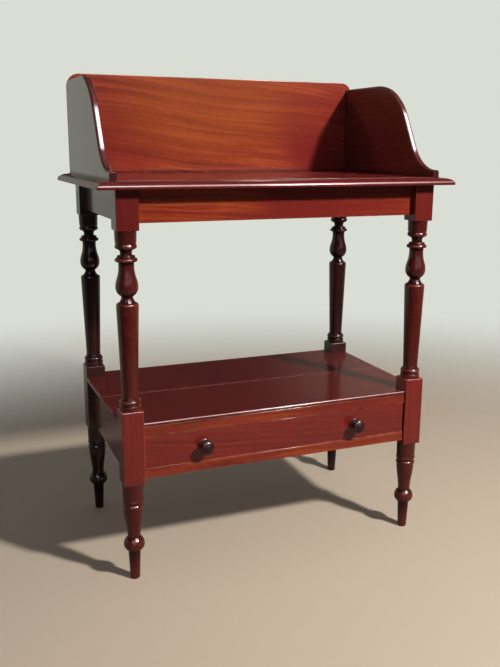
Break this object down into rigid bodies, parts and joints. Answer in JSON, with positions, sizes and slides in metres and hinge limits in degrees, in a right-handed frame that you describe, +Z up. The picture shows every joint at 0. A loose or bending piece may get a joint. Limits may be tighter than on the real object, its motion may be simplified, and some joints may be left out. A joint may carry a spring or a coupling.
{
  "type": "washstand",
  "caption": "Wooden washstand with a raised gallery round its top, turned legs, a low shelf and a drawer with turned knobs under the shelf.",
  "frame": {"origin": "on the floor, under the middle of the top board", "axes": "+X to the right seen from the front, +Y to the back, +Z up; the drawer opens towards -Y"},
  "size_m": [0.688, 0.39, 0.9235],
  "materials": {
    "mahogany_red": "polished deep red mahogany",
    "mahogany_bright": "polished orange-brown mahogany",
    "mahogany_dark": "polished dark mahogany",
    "pale_wood": "bare aged pine",
    "knob_wood": "polished near-black turned wood",
    "screw_steel": "dull steel"
  },
  "bodies": {
    "stand": {"leg_front_left": "mahogany_red", "leg_front_right": "mahogany_red", "leg_back_left": "mahogany_red", "leg_back_right": "mahogany_red", "top_board": "mahogany_red", "splash_board": "mahogany_bright", "gallery_left": "mahogany_dark", "gallery_right": "mahogany_dark", "apron_front": "mahogany_bright", "apron_back": "mahogany_bright", "apron_left": "mahogany_bright", "apron_right": "mahogany_bright", "glue_blocks": "pale_wood", "shelf_front_board": "mahogany_dark", "shelf_back_board": "mahogany_dark", "rail_over_drawer": "mahogany_bright", "rail_under_drawer": "mahogany_bright", "case_left": "mahogany_dark", "case_right": "mahogany_dark", "case_back": "mahogany_dark", "runner_left": "pale_wood", "runner_right": "pale_wood", "guide_left": "pale_wood", "guide_right": "pale_wood", "kicker_left": "pale_wood", "kicker_right": "pale_wood", "drawer_stops": "pale_wood", "gallery_screws": "screw_steel"},
    "drawer": {"drawer_front": "mahogany_red", "drawer_left": "pale_wood", "drawer_right": "pale_wood", "drawer_back": "pale_wood", "drawer_bottom": "pale_wood", "drawer_screws": "screw_steel", "knob_left": "knob_wood", "knob_right": "knob_wood"}
  },
  "joints": [
    {"name": "drawer_slide", "type": "slide", "parent": "stand", "child": "drawer", "axis": [0, -1, 0], "range_m": [0, 0.24]}
  ]
}
